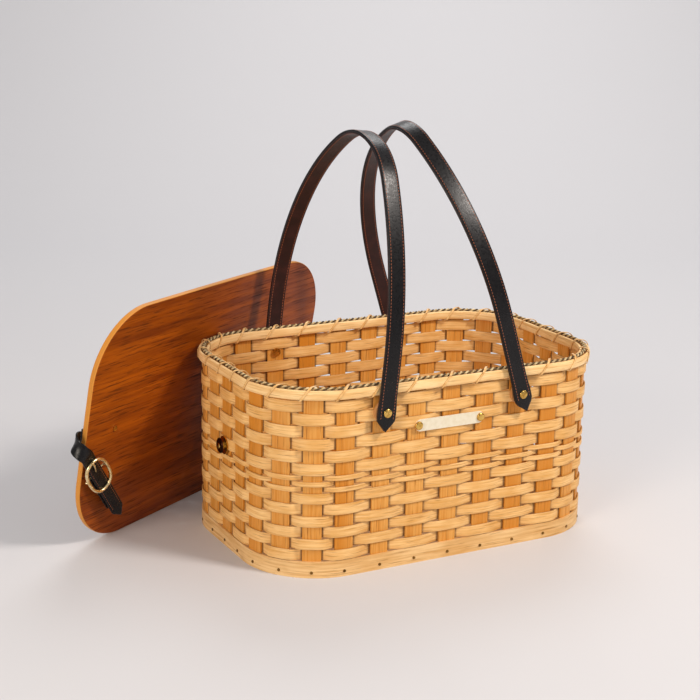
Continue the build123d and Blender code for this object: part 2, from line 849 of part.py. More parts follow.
for label, place in (
    ("lid face centre", lid_plane.origin),
    ("lid along", lid_along),
    ("lid up", lid_up),
    ("lid face", lid_face),
    ("left strap bend", on_lid(-lid_end, 0, tab_inner - lid_strap_thickness / 2).origin),
    ("right strap bend", on_lid(lid_end, 0, tab_inner - lid_strap_thickness / 2).origin),
):
    print(label, place)
print("handle pivots at x", [front_xs[k] for k in handle_pivot_stakes])
print("inside of the wall", half_length - wall_to_rim, half_depth - wall_to_rim, corner_radius)
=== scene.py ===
from math import atan2, cos, pi, radians, sin

import bpy
from mathutils import Matrix, Vector, noise


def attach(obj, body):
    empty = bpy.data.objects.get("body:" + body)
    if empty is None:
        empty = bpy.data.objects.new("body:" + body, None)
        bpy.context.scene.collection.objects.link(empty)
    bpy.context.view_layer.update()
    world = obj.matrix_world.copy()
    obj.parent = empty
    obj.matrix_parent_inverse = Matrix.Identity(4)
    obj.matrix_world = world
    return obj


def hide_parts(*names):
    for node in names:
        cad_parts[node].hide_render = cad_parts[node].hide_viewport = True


# Splint-woven picnic basket with leather handles, its oak lid leaning on it. Metres, +Z up,
# the basket's length along X and its front wall towards -Y.

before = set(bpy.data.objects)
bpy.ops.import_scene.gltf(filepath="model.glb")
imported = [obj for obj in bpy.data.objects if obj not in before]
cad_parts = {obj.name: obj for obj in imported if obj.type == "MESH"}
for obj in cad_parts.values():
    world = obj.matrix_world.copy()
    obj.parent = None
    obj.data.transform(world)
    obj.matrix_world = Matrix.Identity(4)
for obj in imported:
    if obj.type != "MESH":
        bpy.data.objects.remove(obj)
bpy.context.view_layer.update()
MM = 0.001

# Camera at the photograph's angle, found from the rim and the foot of the basket. The floor
# is one pale sheet that sweeps up behind, lit by a large soft lamp on the right.
camera_place = Vector((-822.89, -1430.19, 630.19)) * MM
camera_yaw = -0.49121888
camera_pitch = 0.25685175
camera_roll = -0.0191728
camera_lens = 78.19
floor_half = 6.0
sweep_start = 1.6
sweep_radius = 1.5
sweep_height = 4.0


def colour(text):
    """Linear colour from an sRGB hex text."""
    parts = [int(text[k:k + 2], 16) / 255 for k in (0, 2, 4)]
    return tuple(p / 12.92 if p <= 0.04045 else ((p + 0.055) / 1.055) ** 2.4 for p in parts) + (1,)


def node(tree, kind, inputs=None, **fields):
    """Add a node. Inputs are values or links by socket, and fields are the node's own."""
    made = tree.nodes.new("ShaderNode" + kind)
    for key, value in fields.items():
        setattr(made, key, value)
    for key, value in (inputs or {}).items():
        if isinstance(value, bpy.types.NodeSocket):
            tree.links.new(value, made.inputs[key])
        else:
            made.inputs[key].default_value = value
    return made


def surface(name, **constants):
    """New material, its tree and its shader, with constant values set on the shader."""
    material = bpy.data.materials.new(name)
    material.use_nodes = True
    shader = material.node_tree.nodes["Principled BSDF"]
    for key, value in constants.items():
        shader.inputs[key.replace("_", " ")].default_value = value
    return material, material.node_tree, shader


def mesh_object(name, points, faces, smooth=True):
    mesh = bpy.data.meshes.new(name)
    mesh.from_pydata(points, [], faces)
    mesh.validate()
    mesh.polygons.foreach_set("use_smooth", [smooth] * len(mesh.polygons))
    made = bpy.data.objects.new(name, mesh)
    bpy.context.scene.collection.objects.link(made)
    return made


forward = Vector((
    -sin(camera_yaw) * cos(camera_pitch),
    cos(camera_yaw) * cos(camera_pitch),
    -sin(camera_pitch),
))
level = forward.cross(Vector((0, 0, 1))).normalized()
below = forward.cross(level)
right = level * cos(camera_roll) + below * sin(camera_roll)
down = below * cos(camera_roll) - level * sin(camera_roll)
camera_data = bpy.data.cameras.new("camera")
camera_data.lens = camera_lens
camera_data.sensor_width = 36.0
camera = bpy.data.objects.new("camera", camera_data)
turn = Matrix((right, -down, -forward)).transposed().to_4x4()
camera.matrix_world = Matrix.Translation(camera_place) @ turn
bpy.context.scene.collection.objects.link(camera)
bpy.context.scene.camera = camera

profile = [(-floor_half, 0.0), (sweep_start, 0.0)]
for step in range(1, 13):
    angle = pi / 2 * step / 12
    profile.append((
        sweep_start + sweep_radius * sin(angle),
        sweep_radius * (1 - cos(angle)),
    ))
profile.append((sweep_start + sweep_radius, sweep_height))
floor_points = [(x, y, z) for y, z in profile for x in (-floor_half, floor_half)]
floor_faces = [(2 * k, 2 * k + 1, 2 * k + 3, 2 * k + 2) for k in range(len(profile) - 1)]
floor = mesh_object("floor", floor_points, floor_faces)
floor.rotation_euler = (0, 0, camera_yaw)
# Matt photographer's paper, a cool pale grey with no gloss
paper, tree, shader = surface("paper_backdrop_matt", Roughness=0.9)
shader.inputs["Base Color"].default_value = colour("D0CFD1")
floor.data.materials.append(paper)


def lamp(name, place, target, size, power, tint):
    """Soft round lamp: size across in metres, power in watts, tint as a hex text."""
    data = bpy.data.lights.new(name, "AREA")
    data.shape = "DISK"
    data.size = size
    data.energy = power
    data.color = colour(tint)[:3]
    made = bpy.data.objects.new(name, data)
    made.location = place
    aim = Vector(target) - Vector(place)
    made.rotation_euler = aim.to_track_quat("-Z", "Y").to_euler()
    bpy.context.scene.collection.objects.link(made)


lamp("key_lamp", (0.95, -1.45, 1.9), (0, 0, 0.15), 0.5, 42, "FFF6EE")
lamp("fill_lamp", (-2.0, -1.1, 0.9), (-0.1, 0, 0.1), 1.1, 25, "FFF2E2")
lamp("back_lamp", (1.1, 1.7, 2.4), (0.7, 1.1, 0.0), 1.6, 30, "FFFFFF")
world = bpy.data.worlds.new("studio")
world.use_nodes = True
world.node_tree.nodes["Background"].inputs["Color"].default_value = colour("E9E9EC")
world.node_tree.nodes["Background"].inputs["Strength"].default_value = 0.5
bpy.context.scene.world = world
bpy.context.scene.view_settings.view_transform = "Standard"

# The weaving: flat reeds laid round the wall, over one stake and under the next. They are
# split from the palm's stem, so they are pale, with fine fibres along them.
half_length = 205.15 * MM
half_depth = 128.95 * MM
corner = 80.4 * MM
stake_half = 10.0 * MM
stake_shift = -5.0 * MM
front_stakes = 7
end_stakes = 9
weaver_thickness = 1.5 * MM
weave_swing = 1.85 * MM
weave_crown = 0.35 * MM
rows_bottom = 18.2 * MM
row_pitches = [12.5 * MM] * 6 + [6.1 * MM] * 3 + [13.3 * MM] * 6
rim_bottom = 192.3 * MM
rim_row_height = 8.8 * MM
reed_slack = 0.7 * MM
reed_edge = 0.55 * MM
stake_grip = 1.0 * MM
reed_wander = 0.22 * MM
reed_width_play = 0.025
reed_tilt = 0.05
# Painted shade beside a stake spreads over one seventh of the gap between stakes
tuck_reach = 7

straight_x = half_length - corner
straight_y = half_depth - corner
quarter = pi * corner / 2
perimeter = 4 * (straight_x + straight_y + quarter)


def hoop(run):
    """Place on the wall's middle line and the outward direction there."""
    run = run % perimeter
    angle = -pi / 2
    sides = (
        (straight_x, (0, -half_depth), (straight_x, -straight_y)),
        (2 * straight_y, (half_length, -straight_y), (straight_x, straight_y)),
        (2 * straight_x, (straight_x, half_depth), (-straight_x, straight_y)),
        (2 * straight_y, (-half_length, straight_y), (-straight_x, -straight_y)),
        (straight_x, (-straight_x, -half_depth), None),
    )
    for length, foot, centre in sides:
        outward = Vector((cos(angle), sin(angle), 0))
        if run <= length or centre is None:
            return Vector((*foot, 0)) + Vector((-outward.y, outward.x, 0)) * run, outward
        run -= length
        if run <= quarter:
            angle += run / corner
            outward = Vector((cos(angle), sin(angle), 0))
            return Vector((*centre, 0)) + outward * corner, outward
        run -= quarter
        angle += pi / 2


def spread(first, last, count):
    return [first + (last - first) * (k + 1) / (count + 1) for k in range(count)]


stake_pitch = 2 * straight_x / (front_stakes - 1)
front_xs = [stake_shift - straight_x + stake_pitch * k for k in range(front_stakes)]
back_runs = [perimeter / 2 - x for x in reversed(front_xs)]
stake_runs = front_xs + spread(front_xs[-1], back_runs[0], end_stakes) + back_runs
stake_runs += spread(back_runs[-1], perimeter + front_xs[0], end_stakes)


def rounded(width, thickness, edge, crown=0.0, steps=2, across=3):
    """Closed outline of a flat strip: (across, out) points, with round edges and a crown."""
    corners = (
        (width / 2 - edge, thickness / 2 - edge, 0),
        (edge - width / 2, thickness / 2 - edge, 1),
        (edge - width / 2, edge - thickness / 2, 2),
        (width / 2 - edge, edge - thickness / 2, 3),
    )
    outline = []
    for x, y, turn_count in corners:
        for step in range(steps + 1):
            angle = pi / 2 * (turn_count + step / steps)
            outline.append((x + edge * cos(angle), y + edge * sin(angle)))
        if turn_count == 0:
            for step in range(1, across + 1):
                outline.append((x * (1 - 2 * step / (across + 1)), thickness / 2))
        if turn_count == 2:
            for step in range(1, across + 1):
                outline.append((x * (1 - 2 * step / (across + 1)), -thickness / 2))
    lift = [crown * (1 - (2 * x / width) ** 2) if y > 0 else 0.0 for x, y in outline]
    return [(x, y + rise) for (x, y), rise in zip(outline, lift)]


def sweep(name, stations, outline, closed=False, painted_shades=None):
    """Skin an outline along stations of (place, across, out, width scale).

    Painted shade comes as one value a station, above 0 where the outer face is tucked in beside a stake
    and below 0 where the inner one is; that face is then darkened as painted shade. With them the reed's
    own edges get a thin line of painted shade too.
    """
    count = len(outline)
    points = [
        place + across * (x * scale) + out * y
        for place, across, out, scale in stations
        for x, y in outline
    ]
    faces = []
    last = len(stations) if closed else len(stations) - 1
    for k in range(last):
        here = k * count
        after = (k + 1) % len(stations) * count
        for j in range(count):
            beside = (j + 1) % count
            faces.append((here + j, here + beside, after + beside, after + j))
    if not closed:
        faces.append(tuple(reversed(range(count))))
        faces.append(tuple(range((len(stations) - 1) * count, len(stations) * count)))
    made = mesh_object(name, points, faces)
    if painted_shades:
        half = max(x for x, y in outline)
        values = []
        for tuck in painted_shades:
            for x, y in outline:
                # Painted shade on the tucked face, and a thin line of painted shade along the reed's
                # edges
                tucked = max(0.0, tuck if y > 0 else -tuck)
                values.append(max(tucked, 0.5 * (abs(x) / half) ** 24))
        made.data.attributes.new("painted_shade", "FLOAT", "POINT").data.foreach_set("value", values)
    return made


def weave_stations(phase, height, seed):
    """Stations of a weaver: proud of one stake and behind the next, with the reed's wander, and a
    painted-shade value for each.
    """
    stations = []
    flat = stake_half + stake_grip
    up = Vector((0, 0, 1))
    for k, here in enumerate(stake_runs):
        after = stake_runs[(k + 1) % len(stake_runs)]
        if after < here:
            after += perimeter
        side = 1 if (k + phase) % 2 else -1
        gap = after - here - 2 * flat
        for step in range(-3, 4):
            share = step / 3
            swing = side * (weave_swing + weave_crown * (1 - share * share))
            # Painted shade on the face that lies against the stake, towards the ends of this stretch
            tuck = -side * max(0.0, abs(share) - 0.6) * 2.4
            stations.append((here + flat * share, swing, tuck))
        for step in range(1, 12):
            share = step / 12
            ease = share * share * (3 - 2 * share)
            # Painted shade on the face turned to the stake beside it, over the seventh of the gap next
            # to each stake
            tuck = max(0.0, 1 - (1 - share) * tuck_reach) - max(0.0, 1 - share * tuck_reach)
            tuck *= side
            stations.append((here + flat + gap * share, side * weave_swing * (1 - 2 * ease), tuck))
    made = []
    painted_shades = []
    for run, swing, tuck in stations:
        place, outward = hoop(run)
        wander = noise.noise(Vector((place.x * 14, place.y * 14, seed * 3.7)))
        width = noise.noise(Vector((place.x * 22, place.y * 22, seed * 5.3 + 40)))
        tilt = reed_tilt * noise.noise(Vector((place.x * 30, place.y * 30, seed * 2.1 + 90)))
        place = place + outward * swing + up * (height + reed_wander * wander)
        across = (up + outward * tilt).normalized()
        made.append((place, across, outward, 1.0 + reed_width_play * width))
        painted_shades.append(tuck)
    return made, painted_shades


def grain_coordinates(tree, scales, turned=(0, 0, 0)):
    """Object coordinates turned and then scaled, in features per metre along each axis."""
    place = node(tree, "TexCoord").outputs["Object"]
    if any(turned):
        place = node(tree, "Mapping", {"Vector": place, "Rotation": turned}).outputs["Vector"]
    return node(tree, "Mapping", {"Vector": place, "Scale": scales}).outputs["Vector"]


def blend_colours(tree, amount, first, second):
    made = node(tree, "Mix", data_type="RGBA")
    for key, value in ((0, amount), (6, first), (7, second)):
        if isinstance(value, bpy.types.NodeSocket):
            tree.links.new(value, made.inputs[key])
        else:
            made.inputs[key].default_value = value
    return made.outputs[2]


def span(tree, value, low, high, out_low=0.0, out_high=1.0):
    return node(tree, "MapRange", {
        "Value": value,
        "From Min": low,
        "From Max": high,
        "To Min": out_low,
        "To Max": out_high,
    }).outputs["Result"]


def splint(name, pale, deep, fleck, grain, patches, depth, rough=0.5, turned=(0, 0, 0), mottle=0.55):
    """Split reed: fibres along the grain, slow patches of tone, short dark flecks, and painted shade
    from the mesh's shade attribute.
    """
    material, tree, shader = surface(name, Specular_IOR_Level=0.35)
    fibres = node(tree, "TexNoise", {
        "Vector": grain_coordinates(tree, grain, turned),
        "Scale": 1.0,
        "Detail": 5.0,
        "Roughness": 0.6,
    }).outputs["Fac"]
    fine = node(tree, "TexNoise", {
        "Vector": grain_coordinates(tree, tuple(1.9 * g for g in grain), turned),
        "Scale": 1.0,
        "Detail": 3.0,
    }).outputs["Fac"]
    tone = node(tree, "TexNoise", {
        "Vector": grain_coordinates(tree, patches, turned),
        "Scale": 1.0,
        "Detail": 2.0,
    }).outputs["Fac"]
    shade = blend_colours(tree, span(tree, fibres, 0.42, 0.72), colour(pale), colour(deep))
    shade = blend_colours(tree, span(tree, tone, 0.4, 0.68, 0.0, mottle), shade, colour(deep))
    shade = blend_colours(tree, span(tree, fine, 0.58, 0.72, 0.0, 0.7), shade, colour(fleck))
    # Painted shade: dark brown where the mesh's shade attribute is set, on faces tucked beside a stake
    # and along the reed's edges
    painted_shade = node(tree, "Attribute", attribute_name="painted_shade").outputs["Fac"]
    shade = blend_colours(tree, span(tree, painted_shade, 0.0, 1.0, 0.0, 0.92), shade, colour("4A2608"))
    tree.links.new(shade, shader.inputs["Base Color"])
    tree.links.new(span(tree, fine, 0.3, 0.7, rough - 0.1, rough + 0.12), shader.inputs["Roughness"])
    bump = node(tree, "Bump", {"Height": fibres, "Strength": 0.5, "Distance": depth})
    finer = node(tree, "Bump", {
        "Height": fine,
        "Strength": 0.35,
        "Distance": depth * 0.5,
        "Normal": bump.outputs["Normal"],
    })
    tree.links.new(finer.outputs["Normal"], shader.inputs["Normal"])
    return material


# Fibres along each reed and honey patches give it its straw look. The real fibres are too fine
# to show from here, so they are drawn nearly 2 mm apart.
weaver_reed = splint(
    "flat_reed_pale_split", "F4C684", "D79A48", "9A6428", (22, 22, 560), (30, 30, 60), 0.3 * MM
)
# The upright reeds are stained a honey orange, some much deeper than others, with upright fibres
stake_reed = splint(
    "flat_reed_stake_honey", "E2A452", "CC7E1C", "8A4A0C", (430, 430, 14), (19, 19, 2), 0.3 * MM,
    mottle=0.85,
)
# Thicker reed of the bands, a little smoother and more even
band_reed = splint(
    "half_round_reed_band", "EEC58A", "D09A54", "99662C", (18, 18, 480), (26, 26, 60), 0.2 * MM
)
# The rim's reed: the band reed's grain in paler colours, painted lighter to stand in for the light its
# outward face catches
rim_reed = splint(
    "half_round_reed_rim_painted_lighter", "FCD79C", "E3B06A", "A8763C", (18, 18, 480), (26, 26, 60), 0.2 * MM
)

row_height = rows_bottom
for number, pitch in enumerate(row_pitches, start=1):
    middle = row_height + (pitch - 0.3 * MM) / 2
    width = pitch - reed_slack
    stations, painted_shades = weave_stations(number, middle, number)
    outline = rounded(width, weaver_thickness, reed_edge)
    row = sweep(f"reed_row_{number:02d}", stations, outline, closed=True, painted_shades=painted_shades)
    row.data.materials.append(weaver_reed)
    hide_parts(f"weaver_row_{number:02d}")
    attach(row, "basket")
    row_height += pitch
stations, painted_shades = weave_stations(len(row_pitches) + 1, rim_bottom + rim_row_height / 2, 16)
outline = rounded(rim_row_height, weaver_thickness, reed_edge)
top_row = sweep("reed_row_rim", stations, outline, closed=True, painted_shades=painted_shades)
top_row.data.materials.append(weaver_reed)
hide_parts("rim_row")
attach(top_row, "basket")


def repaint(name, material):
    """Give a CAD node a finished material and keep its shape."""
    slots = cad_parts[name].data.materials
    slots.clear()
    slots.append(material)


for name in ("front_stakes", "right_end_stakes", "back_stakes", "left_end_stakes"):
    repaint(name, stake_reed)
repaint("base_band", band_reed)

# The bottom: a planed pine board that stands inside the base band, with its grain along the
# basket. Small nails through the band hold both.
base_wood = splint(
    "pine_board_planed", "DDB27A", "B98750", "7F5528", (9, 260, 260), (5, 30, 30), 0.15 * MM
)
repaint("base_board", base_wood)

# The rim: a half-round reed on each side of the stakes, bent from thicker stock. The lashing
# clamps the two together over the last weaver.
rim_out = 4.55 * MM
rim_thickness = 3.3 * MM
rim_height = 10.8 * MM
rim_shave = 0.5 * MM
rim_edge = 1.1 * MM
rim_crown = 0.45 * MM
rim_sink = 0.2 * MM


def hoop_stations(out, height, count, seed):
    stations = []
    for k in range(count):
        place, outward = hoop(perimeter * k / count)
        wander = noise.noise(Vector((place.x * 9, place.y * 9, seed)))
        rise = height + 0.25 * MM * wander
        stations.append((place + outward * out + Vector((0, 0, rise)), Vector((0, 0, 1)), outward, 1.0))
    return stations


for name, node_name, side in (
    ("rim_reed_outside", "rim_outer_band", 1),
    ("rim_reed_inside", "rim_inner_band", -1),
):
    outline = rounded(
        rim_height - rim_shave, rim_thickness - rim_shave, rim_edge, crown=rim_crown
    )
    outline = [(x, side * (y - rim_sink)) for x, y in outline]
    if side < 0:
        outline.reverse()
    stations = hoop_stations(side * rim_out, rim_bottom + rim_height / 2, 240, 7.0 + side)
    band = sweep(name, stations, outline, closed=True)
    band.data.materials.append(rim_reed)
    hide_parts(node_name)
    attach(band, "basket")

# The filler on top of the rim: two strands of dry grass, one dark and one bleached, twisted
# round each other. It hides the ends of the stakes.
filler_height = 203.4 * MM
strand_radius = 1.15 * MM
strand_offset = 0.85 * MM
strand_turns = 150
strand_steps = 12


def ring_outline(radius, count=8):
    return [
        (radius * cos(2 * pi * k / count), radius * sin(2 * pi * k / count)) for k in range(count)
    ]


# Dry grass: matt, with blades a few millimetres long that run from brown to straw
grass_dark, tree, shader = surface("twisted_grass_dry", Roughness=0.8)
blades = node(tree, "TexNoise", {
    "Vector": grain_coordinates(tree, (260, 260, 420)),
    "Scale": 1.0,
    "Detail": 4.0,
}).outputs["Fac"]
shade = blend_colours(tree, span(tree, blades, 0.35, 0.68), colour("3A2A17"), colour("7A6038"))
tree.links.new(shade, shader.inputs["Base Color"])
bump = node(tree, "Bump", {"Height": blades, "Strength": 0.7, "Distance": 0.4 * MM})
tree.links.new(bump.outputs["Normal"], shader.inputs["Normal"])
# The bleached strand shows as cream dashes between the dark ones
grass_pale, tree, shader = surface("twisted_grass_bleached", Roughness=0.8)
blades = node(tree, "TexNoise", {
    "Vector": grain_coordinates(tree, (240, 240, 400)),
    "Scale": 1.0,
    "Detail": 4.0,
}).outputs["Fac"]
shade = blend_colours(tree, span(tree, blades, 0.35, 0.68), colour("E6D2A4"), colour("A07E4A"))
tree.links.new(shade, shader.inputs["Base Color"])
bump = node(tree, "Bump", {"Height": blades, "Strength": 0.7, "Distance": 0.4 * MM})
tree.links.new(bump.outputs["Normal"], shader.inputs["Normal"])
for name, material, start in (
    ("grass_strand_dark", grass_dark, 0.0),
    ("grass_strand_pale", grass_pale, pi),
):
    stations = []
    steps = strand_turns * strand_steps
    for k in range(steps):
        place, outward = hoop(perimeter * k / steps)
        angle = start + 2 * pi * k / strand_steps
        up = Vector((0, 0, 1))
        offset = (outward * cos(angle) + up * sin(angle)) * strand_offset
        place = place + offset + up * filler_height
        stations.append((place, up, outward, 1.0))
    strand = sweep(name, stations, ring_outline(strand_radius), closed=True)
    strand.data.materials.append(material)
    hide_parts("rim_filler")
    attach(strand, "basket")

# The lashing: one narrow split cane wound over the rim, a turn to each gap between stakes.
# It runs across each face at a slant and passes through the wall under the bands.
cane_width = 2.5 * MM
cane_thickness = 0.8 * MM
lash_half = 6.65 * MM
lash_bottom = 191.85 * MM
lash_top = 206.1 * MM
lash_steps = 40


def lash_route(top_bend=4.6 * MM, foot_bend=0.9 * MM):
    """One turn in the rim's section as (out, up) points, spaced evenly, from the wall up."""
    corners = (
        (lash_half - foot_bend, lash_bottom + foot_bend, foot_bend, -pi / 2),
        (lash_half - top_bend, lash_top - top_bend, top_bend, 0.0),
        (top_bend - lash_half, lash_top - top_bend, top_bend, pi / 2),
        (foot_bend - lash_half, lash_bottom + foot_bend, foot_bend, pi),
    )
    line = [Vector((0.0, lash_bottom))]
    for x, y, bend, start in corners:
        for step in range(9):
            angle = start + pi / 2 * step / 8
            line.append(Vector((x + bend * cos(angle), y + bend * sin(angle))))
    line.append(Vector((0.0, lash_bottom)))
    lengths = [(b - a).length for a, b in zip(line, line[1:])]
    even = []
    for k in range(lash_steps):
        target = sum(lengths) * k / lash_steps
        for start, end, length in zip(line, line[1:], lengths):
            if target <= length:
                even.append(start.lerp(end, target / length))
                break
            target -= length
    return even


lash_section = lash_route()
stations = []
turns = len(stake_runs)
middles = []
for k, here in enumerate(stake_runs):
    after = stake_runs[(k + 1) % turns]
    if after < here:
        after += perimeter
    middles.append((here + after) / 2)
for k in range(turns):
    start = middles[k]
    stop = middles[(k + 1) % turns]
    if stop < start:
        stop += perimeter
    for step in range(lash_steps):
        share = step / lash_steps
        out, height = lash_section[step]
        run = start + (stop - start) * share
        place, outward = hoop(run)
        stations.append((place + outward * out + Vector((0, 0, height)), outward))
placed = []
for k, (place, outward) in enumerate(stations):
    ahead = (stations[(k + 1) % len(stations)][0] - stations[k - 1][0]).normalized()
    along = Vector((-outward.y, outward.x, 0))
    in_section = ahead - along * ahead.dot(along)
    if in_section.length < 1e-6:
        in_section = outward
    normal = along.cross(in_section).normalized()
    width_way = normal.cross(ahead).normalized()
    placed.append((place, width_way, normal, 1.0))
outline = rounded(cane_width, cane_thickness, 0.3 * MM)
# Zero values give the cane no tucked shade, only painted shade along its edges
cane = sweep("lashing_cane", placed, outline, closed=True, painted_shades=[0.0] * len(placed))
# The skin side of cane: harder and glossier than reed, a warm straw, with painted shade along its edges
cane_skin = splint(
    "split_cane_glossy", "F3CB8C", "D9A058", "80501A", (180, 180, 180), (40, 40, 40), 0.08 * MM, 0.32
)
cane.data.materials.append(cane_skin)
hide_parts("rim_lashing")
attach(cane, "basket")

# The metal fittings: nails, posts, rivets, stud bases, lid screws and snaps of brass, and the
# nameplate. They are cast or turned, then polished, and pass through reed, board or leather.
def polished(name, bright, dull, rough, metal=1.0):
    material, tree, shader = surface(name, Metallic=metal)
    rubs = node(tree, "TexNoise", {
        "Vector": grain_coordinates(tree, (220, 220, 220)),
        "Scale": 1.0,
        "Detail": 5.0,
    }).outputs["Fac"]
    fine = node(tree, "TexNoise", {
        "Vector": grain_coordinates(tree, (1600, 1600, 1600)),
        "Scale": 1.0,
        "Detail": 2.0,
    }).outputs["Fac"]
    shade = blend_colours(tree, span(tree, rubs, 0.4, 0.7), colour(bright), colour(dull))
    tree.links.new(shade, shader.inputs["Base Color"])
    tree.links.new(span(tree, rubs, 0.3, 0.7, rough, rough + 0.14), shader.inputs["Roughness"])
    bump = node(tree, "Bump", {"Height": fine, "Strength": 0.12, "Distance": 0.05 * MM})
    tree.links.new(bump.outputs["Normal"], shader.inputs["Normal"])
    return material


# Warm yellow with a soft haze of rubbing gives the eye lacquered brass
brass = polished("brass_polished", "E2B864", "B08438", 0.16)
# A strip lacquered ivory all over, so it shines softly and reflects little
pale_plate = polished("brass_plate_ivory_lacquer", "EDE3CB", "E6DABD", 0.4, 0.2)
# Small nails go brown in the open
nail_brass = polished("brass_nail_tarnished", "94703A", "5A4020", 0.36)
# Browned bronze looks nearly black but for its highlights
dark_bronze = polished("bronze_cap_dark", "3A2018", "22120E", 0.22)
repaint("base_nails", nail_brass)
for name in (
    "handle_posts",
    "plate_rivets",
    "stud_bases",
    "lid_screws",
    "left_strap_snap",
    "right_strap_snap",
):
    repaint(name, brass)
repaint("name_plate", pale_plate)

# Handles: two leathers back to back, black outside and burgundy inside, bent into an arch.
# Their tails end in points, and each turns on the screws through the long walls.
strap_width = 19.0 * MM
strap_thickness = 2.3 * MM
lining_thickness = 1.8 * MM
lining_face = 137.45 * MM
strap_face = 139.6 * MM
strap_inside = 138.45 * MM
pivot_height = 174.5 * MM
handle_tail = 20.0 * MM
tail_shoulder = 9.0 * MM
tail_swell = 0.1
tail_swell_reach = 14 * MM
tail_blunt = 0.4 * MM
strap_edge = 0.75 * MM
strap_crown = 0.15 * MM
stitch_inset = 7.3 * MM
stitch_pitch = 3.3 * MM
stitch_length = 2.4 * MM
thread_radius = 0.34 * MM
screw_reach = half_depth + 12.1 * MM
screw_radius = 4.7 * MM
screw_height = 1.95 * MM
# Side, stake, lean, rise, apex, inner top radius and straight leg of each handle
handles = (
    ("left", 1, 5.7, 272.8 * MM, -24.7 * MM, 76.8 * MM, 47.5 * MM),
    ("right", 5, -17.4, 289.6 * MM, -16.1 * MM, 51.7 * MM, 86.0 * MM),
)


def leather(name, base, worn, rough, sheen, gloss=0.4):
    """Leather: pores and creases in the bump, rubbed lighter in slow patches."""
    material, tree, shader = surface(
        name, Sheen_Weight=sheen, Sheen_Roughness=0.4, Specular_IOR_Level=gloss
    )
    pores = node(tree, "TexVoronoi", {
        "Vector": grain_coordinates(tree, (1500, 1500, 1500)),
        "Scale": 1.0,
    }).outputs["Distance"]
    creases = node(tree, "TexNoise", {
        "Vector": grain_coordinates(tree, (420, 420, 420)),
        "Scale": 1.0,
        "Detail": 5.0,
    }).outputs["Fac"]
    rubbed = node(tree, "TexNoise", {
        "Vector": grain_coordinates(tree, (60, 60, 60)),
        "Scale": 1.0,
        "Detail": 3.0,
    }).outputs["Fac"]
    shade = blend_colours(tree, span(tree, rubbed, 0.45, 0.75), colour(base), colour(worn))
    tree.links.new(shade, shader.inputs["Base Color"])
    tree.links.new(span(tree, creases, 0.3, 0.7, rough - 0.08, rough + 0.1), shader.inputs["Roughness"])
    coarse = node(tree, "Bump", {"Height": creases, "Strength": 0.3, "Distance": 0.25 * MM})
    bump = node(tree, "Bump", {
        "Height": pores,
        "Strength": 0.25,
        "Distance": 0.12 * MM,
        "Normal": coarse.outputs["Normal"],
    })
    tree.links.new(bump.outputs["Normal"], shader.inputs["Normal"])
    return material


# Waxed bridle leather is dense black with a tight soft shine
black_leather = leather("bridle_leather_black", "070506", "100D0E", 0.3, 0.0, 0.3)
# The lining is a drier, browner leather
burgundy_leather = leather("lining_leather_burgundy", "26100F", "3A1B18", 0.48, 0.05)
# Washers of undyed leather, rubbed paler in slow patches
tan_leather = leather("washer_leather_tan", "B98049", "CF9C63", 0.6, 0.1)
repaint("handle_discs", tan_leather)

# Waxed thread catches the light as short rust-tan dashes
thread, tree, shader = surface("waxed_thread_rust", Roughness=0.6)
strands = node(tree, "TexNoise", {
    "Vector": grain_coordinates(tree, (2600, 2600, 2600)),
    "Scale": 1.0,
}).outputs["Fac"]
shade = blend_colours(tree, strands, colour("8E4526"), colour("B4683E"))
tree.links.new(shade, shader.inputs["Base Color"])
bump = node(tree, "Bump", {"Height": strands, "Strength": 0.5, "Distance": 0.1 * MM})
tree.links.new(bump.outputs["Normal"], shader.inputs["Normal"])


def arch(face, rise, apex, inner_radius, leg):
    """Points along one face of the leather: (y, height, outward y, outward height)."""
    lift = face - strap_inside
    sides = []
    for side in (-1, 1):
        span_y = face - side * apex
        radius = inner_radius + lift
        crown = rise + lift - radius
        shoulder = (span_y ** 2 + (crown - leg) ** 2 - radius ** 2) / (2 * (span_y - radius))
        turned = atan2(crown - leg, shoulder - span_y)
        centre = apex + side * (span_y - shoulder)
        run = []
        for k in range(24):
            height = -handle_tail + (leg + handle_tail) * k / 24
            run.append((side * face, height, side, 0.0))
        for k in range(60):
            angle = turned * k / 60
            run.append((
                centre + side * shoulder * cos(angle),
                leg + shoulder * sin(angle),
                side * cos(angle),
                sin(angle),
            ))
        for k in range(31):
            angle = turned + (pi / 2 - turned) * k / 30
            run.append((
                apex + side * radius * cos(angle),
                crown + radius * sin(angle),
                side * cos(angle),
                sin(angle),
            ))
        sides.append(run)
    return sides[0] + list(reversed(sides[1]))[1:]


def stitch_row(points, faces, line, pitch, length, radius):
    """Add short rounded stitches along a line of (place, out) to a mesh under way."""
    travelled = 0.0
    target = pitch
    for (place, out), (after, out_after) in zip(line, line[1:]):
        step = (after - place).length
        while travelled + step >= target:
            share = (target - travelled) / step
            middle = place.lerp(after, share)
            normal = out.lerp(out_after, share).normalized()
            ahead = (after - place).normalized()
            across = normal.cross(ahead)
            first = len(points)
            for along, size in ((-0.5, 0.35), (-0.36, 0.9), (0.0, 1.0), (0.36, 0.9), (0.5, 0.35)):
                sink = -radius * (0.9 if abs(along) == 0.5 else 0.1)
                for j in range(6):
                    angle = pi / 3 * j
                    points.append(
                        middle
                        + ahead * (along * length)
                        + normal * (sink + radius * size * sin(angle))
                        + across * (radius * size * cos(angle))
                    )
            for ring in range(4):
                for j in range(6):
                    beside = (j + 1) % 6
                    base = first + ring * 6
                    faces.append((base + j, base + beside, base + 6 + beside, base + 6 + j))
            faces.append(tuple(first + j for j in reversed(range(6))))
            faces.append(tuple(first + 24 + j for j in range(6)))
            target += pitch
        travelled += step


